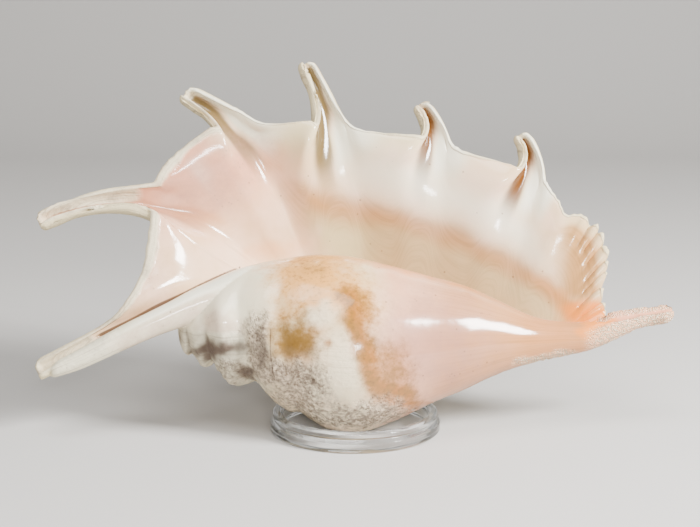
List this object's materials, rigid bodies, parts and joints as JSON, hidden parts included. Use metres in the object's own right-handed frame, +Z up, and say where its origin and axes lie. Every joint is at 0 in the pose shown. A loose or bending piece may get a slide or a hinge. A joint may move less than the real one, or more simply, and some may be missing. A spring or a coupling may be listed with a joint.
{
  "type": "spider conch shell on a ring stand",
  "caption": "Large spider conch shell with a flared, finger-edged lip and glossy pink opening, resting on a low clear ring stand.",
  "frame": {"origin": "centre of the whole object's bounding box in plan, on the ground under the ring stand", "axes": "+X along the coiling axis towards the slender canal, -Y towards the viewer of the open side, +Z up"},
  "size_m": [0.3214, 0.1164, 0.1785],
  "materials": {
    "shell": "glossy pinkish cream glaze inside the lip and on the front of the body; chalky cream with tan stains elsewhere",
    "clear_plastic": "clear polished plastic"
  },
  "bodies": {
    "root": {"shell": "shell", "ring_stand": "clear_plastic"}
  },
  "joints": []
}
